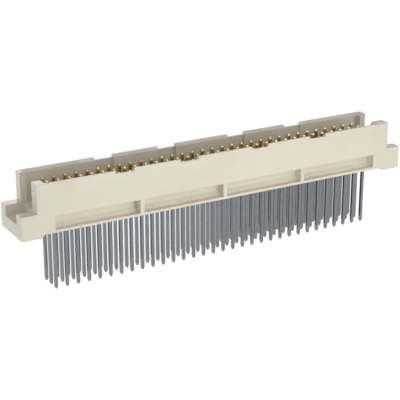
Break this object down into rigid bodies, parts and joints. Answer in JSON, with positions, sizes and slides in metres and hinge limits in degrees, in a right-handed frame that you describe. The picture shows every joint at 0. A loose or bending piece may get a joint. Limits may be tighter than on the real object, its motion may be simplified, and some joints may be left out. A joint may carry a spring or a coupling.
{
  "type": "backplane connector",
  "caption": "Straight backplane connector: rows of square pins in an open moulded shroud with fixing flanges, and long square posts below the board for wiring.",
  "frame": {"origin": "middle of the contact field, on the board surface that the two feet stand on", "axes": "+X along the rows, +Y across them away from the polarising blocks, +Z the mating direction"},
  "size_m": [0.095, 0.011, 0.0245],
  "materials": {
    "moulding": "fine moulded satin",
    "contact_plating": "tin-plated posts and gold-plated mating pins"
  },
  "bodies": {
    "root": {"housing": "moulding", "contact_column_01": "contact_plating", "contact_column_02": "contact_plating", "contact_column_03": "contact_plating", "contact_column_04": "contact_plating", "contact_column_05": "contact_plating", "contact_column_06": "contact_plating", "contact_column_07": "contact_plating", "contact_column_08": "contact_plating", "contact_column_09": "contact_plating", "contact_column_10": "contact_plating", "contact_column_11": "contact_plating", "contact_column_12": "contact_plating", "contact_column_13": "contact_plating", "contact_column_14": "contact_plating", "contact_column_15": "contact_plating", "contact_column_16": "contact_plating", "contact_column_17": "contact_plating", "contact_column_18": "contact_plating", "contact_column_19": "contact_plating", "contact_column_20": "contact_plating", "contact_column_21": "contact_plating", "contact_column_22": "contact_plating", "contact_column_23": "contact_plating", "contact_column_24": "contact_plating", "contact_column_25": "contact_plating", "contact_column_26": "contact_plating", "contact_column_27": "contact_plating", "contact_column_28": "contact_plating", "contact_column_29": "contact_plating", "contact_column_30": "contact_plating", "contact_column_31": "contact_plating", "contact_column_32": "contact_plating"}
  },
  "joints": []
}
